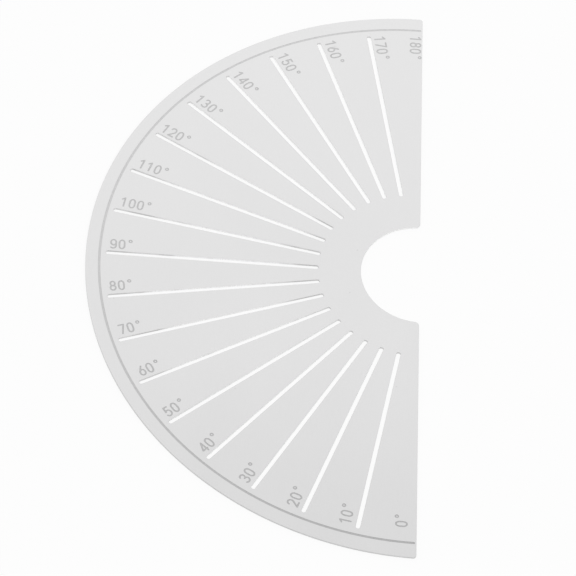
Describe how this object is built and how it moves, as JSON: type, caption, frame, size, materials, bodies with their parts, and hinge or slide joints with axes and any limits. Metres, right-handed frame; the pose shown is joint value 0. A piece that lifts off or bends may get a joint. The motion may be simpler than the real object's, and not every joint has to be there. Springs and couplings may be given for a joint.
{
  "type": "half-round angle template",
  "caption": "Thin half-round steel angle template with radial slots, a half-round notch in its straight edge, an engraved rim line and engraved degree numbers.",
  "frame": {"origin": "middle of the sheet's bounding box in plan, on the underside that it lies on", "axes": "+Z out of the engraved upper face, +Y along the straight edge towards 180 degrees, +X square to the straight edge and out of the sheet, so 90 degrees points along -X"},
  "size_m": [0.0846, 0.17, 0.0006],
  "materials": {
    "satin_steel": "fine satin stainless steel sheet, with darker laser-marked line and numbers"
  },
  "bodies": {
    "root": {"protractor_plate": "satin_steel"}
  },
  "joints": []
}
